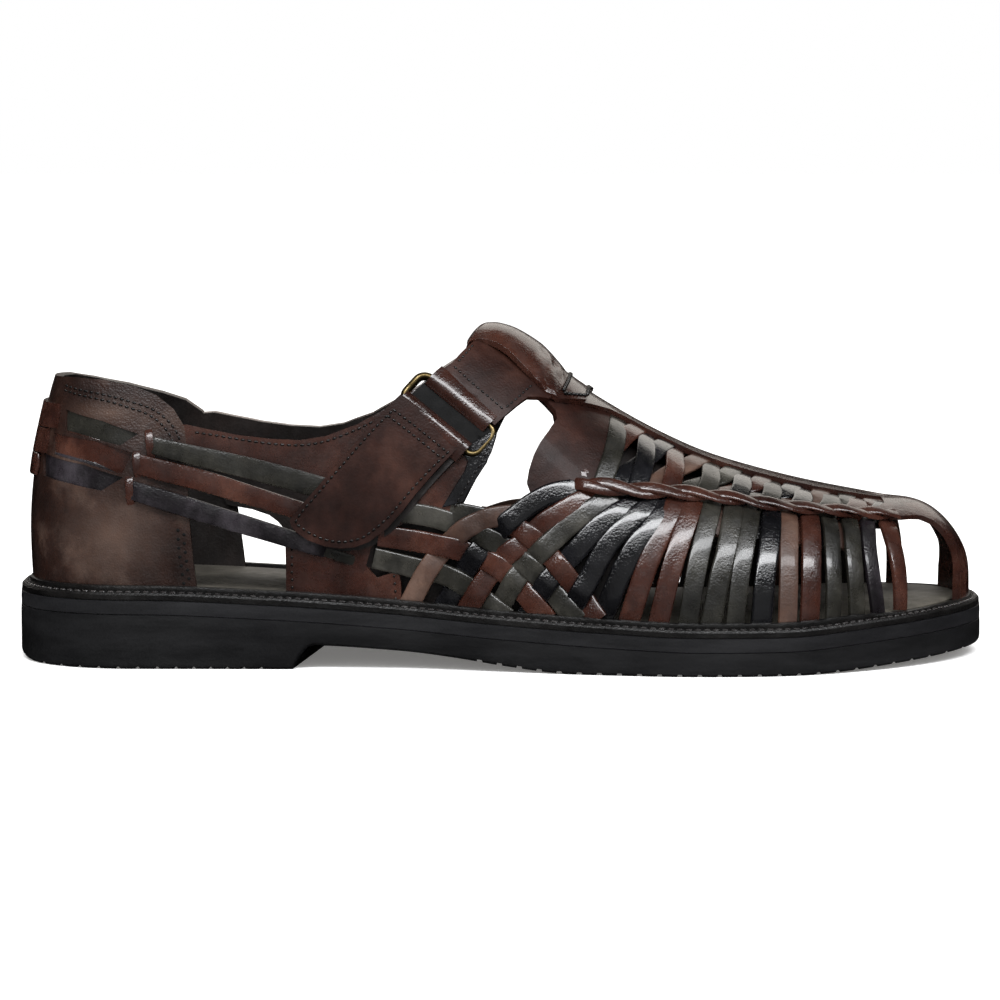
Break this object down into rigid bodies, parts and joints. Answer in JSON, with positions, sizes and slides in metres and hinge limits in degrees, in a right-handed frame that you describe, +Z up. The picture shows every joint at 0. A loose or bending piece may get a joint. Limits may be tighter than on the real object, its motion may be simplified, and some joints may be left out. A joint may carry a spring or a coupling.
{
  "type": "huarache sandal",
  "caption": "Closed-heel woven leather sandal, right shoe, with a hook-and-loop strap through a brass ring and a black rubber sole with a low heel block.",
  "frame": {"origin": "on the ground, under the middle of the shoe's box", "axes": "+X towards the toe, +Y towards the inner side of the foot, +Z up"},
  "size_m": [0.3, 0.106, 0.1041],
  "materials": {
    "black_rubber": "satin",
    "runner_rubber": "satin",
    "welt_leather": "satin",
    "insole_leather": "matte",
    "woven_leather": "glossy",
    "brown_leather": "glossy",
    "brass": "satin"
  },
  "bodies": {
    "root": {"outsole": "black_rubber", "midsole": "runner_rubber", "welt": "welt_leather", "insole": "insole_leather", "upper": "woven_leather", "toe_strap": "brown_leather", "saddle": "brown_leather", "closing_strap": "brown_leather", "ring": "brass", "border_lace_lateral": "brown_leather", "border_lace_medial": "brown_leather"}
  },
  "joints": []
}
